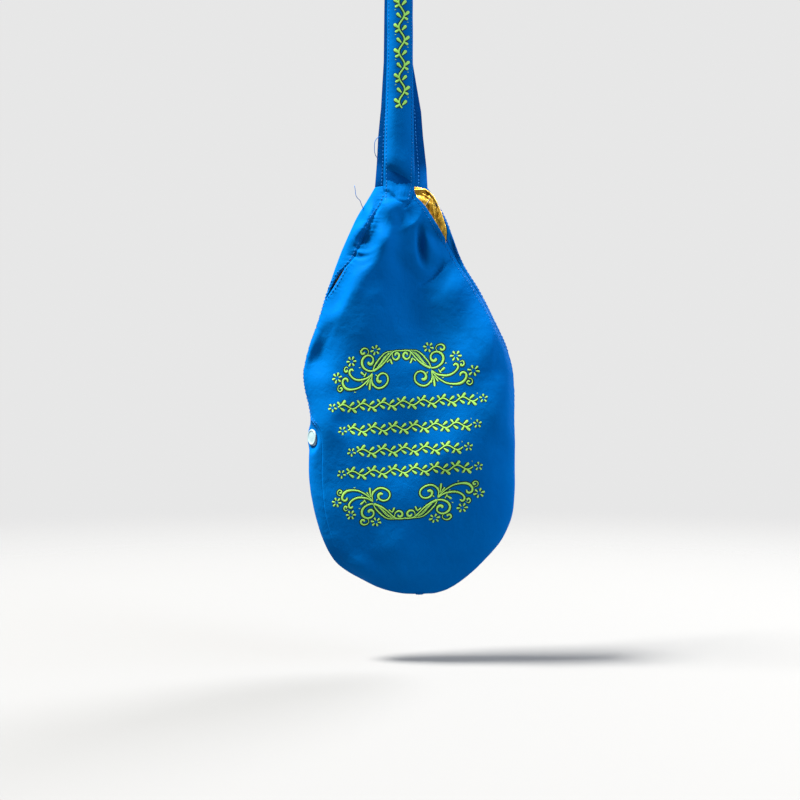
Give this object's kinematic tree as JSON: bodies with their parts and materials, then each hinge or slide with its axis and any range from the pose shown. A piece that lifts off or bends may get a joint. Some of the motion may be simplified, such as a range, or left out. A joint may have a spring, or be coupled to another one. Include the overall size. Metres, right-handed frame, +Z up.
{
  "type": "japa mala bag",
  "caption": "Lined cotton bag for prayer beads, hung from its neck strap, with a side mouth for the hand, a hole for the first finger and a press stud at the side seam",
  "frame": {"origin": "the seat of the hook, peg or neck, on the underside of the strap at the top of its loop; the bag hangs below it", "axes": "+Z is up along the hanging strap, the bag's printed front faces -Y, and +X points to the side with the mouth, to the right as seen from the front"},
  "size_m": [0.1796, 0.0462, 0.747],
  "materials": {
    "cloth": "fine cotton twill in bright blue with a slight sheen, lime printed scroll ornament",
    "lining": "thin golden yellow satin lining",
    "strap": "the same blue cotton, folded and stitched into a band",
    "stud": "pearly pale blue-white moulded plastic"
  },
  "bodies": {
    "root": {"front_panel": "cloth", "back_panel": "cloth", "front_lining": "lining", "back_lining": "lining", "neck_strap": "strap", "press_stud_cap": "stud", "press_stud_socket": "stud", "press_stud_knob": "stud", "press_stud_back_cap": "stud"}
  },
  "joints": []
}
